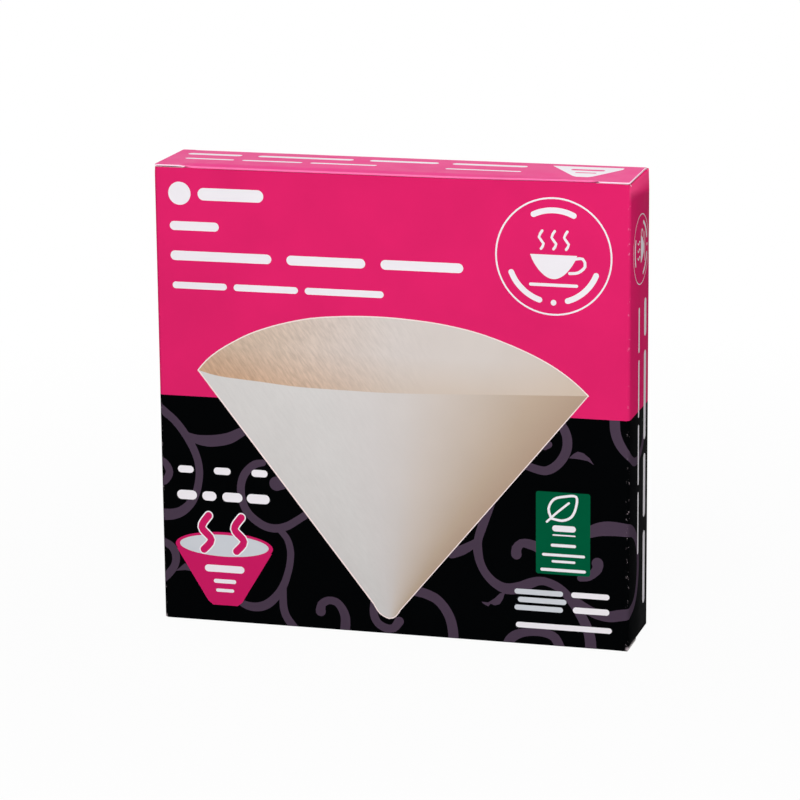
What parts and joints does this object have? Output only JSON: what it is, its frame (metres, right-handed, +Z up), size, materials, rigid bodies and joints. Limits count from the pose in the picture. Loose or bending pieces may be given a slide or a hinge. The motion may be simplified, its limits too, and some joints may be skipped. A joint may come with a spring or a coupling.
{
  "type": "folding carton of paper coffee filters",
  "caption": "Upright reverse tuck-end folding carton, printed bright over dark, holding a stack of flat-folded creped paper cone filters for pour-over coffee.",
  "frame": {"origin": "middle of the base, at the height of the surface that the carton stands on", "axes": "+X to the right seen from the front, +Y from the front panel to the rear, +Z up"},
  "size_m": [0.17, 0.0316, 0.165],
  "materials": {
    "printed_board": "coated folding boxboard, satin print, raw cut edges off-white",
    "lid_board": "coated folding boxboard, satin print",
    "base_board": "coated folding boxboard, satin print",
    "filter_paper": "unbleached creped filter paper, matt"
  },
  "bodies": {
    "carton": {"carton": "printed_board", "filter_01": "filter_paper", "filter_02": "filter_paper", "filter_03": "filter_paper", "filter_04": "filter_paper", "filter_05": "filter_paper", "filter_06": "filter_paper", "filter_07": "filter_paper", "filter_08": "filter_paper", "filter_09": "filter_paper", "filter_10": "filter_paper", "filter_11": "filter_paper", "filter_12": "filter_paper", "filter_13": "filter_paper", "filter_14": "filter_paper", "filter_15": "filter_paper", "filter_16": "filter_paper", "filter_17": "filter_paper", "filter_18": "filter_paper", "filter_19": "filter_paper", "filter_20": "filter_paper", "filter_21": "filter_paper", "filter_22": "filter_paper", "filter_23": "filter_paper", "filter_24": "filter_paper", "filter_25": "filter_paper", "filter_26": "filter_paper", "filter_27": "filter_paper", "filter_28": "filter_paper", "filter_29": "filter_paper", "filter_30": "filter_paper", "filter_31": "filter_paper", "filter_32": "filter_paper", "filter_33": "filter_paper", "filter_34": "filter_paper", "filter_35": "filter_paper", "filter_36": "filter_paper", "filter_37": "filter_paper", "filter_38": "filter_paper", "filter_39": "filter_paper", "filter_40": "filter_paper"},
    "top_lid": {"top_lid": "lid_board"},
    "top_tuck": {"top_tuck_flap": "lid_board"},
    "bottom_lid": {"bottom_lid": "base_board"},
    "bottom_tuck": {"bottom_tuck_flap": "base_board"}
  },
  "joints": [
    {"name": "top_lid_hinge", "type": "hinge", "parent": "carton", "child": "top_lid", "pos_m": [0, 0.01558, 0.16475], "axis": [-1, 0, 0], "range_deg": [0, 120]},
    {"name": "top_tuck_hinge", "type": "hinge", "parent": "top_lid", "child": "top_tuck", "pos_m": [0, -0.01458, 0.1645], "axis": [1, 0, 0], "range_deg": [0, 60]},
    {"name": "bottom_lid_hinge", "type": "hinge", "parent": "carton", "child": "bottom_lid", "pos_m": [0, -0.01558, 0.00025], "axis": [-1, 0, 0], "range_deg": [0, 120]},
    {"name": "bottom_tuck_hinge", "type": "hinge", "parent": "bottom_lid", "child": "bottom_tuck", "pos_m": [0, 0.01458, 0.0005], "axis": [1, 0, 0], "range_deg": [0, 60]}
  ],
  "couplings": [
    {"joint": "top_tuck_hinge", "follows": "top_lid_hinge", "ratio": 0.5},
    {"joint": "bottom_tuck_hinge", "follows": "bottom_lid_hinge", "ratio": 0.5}
  ]
}
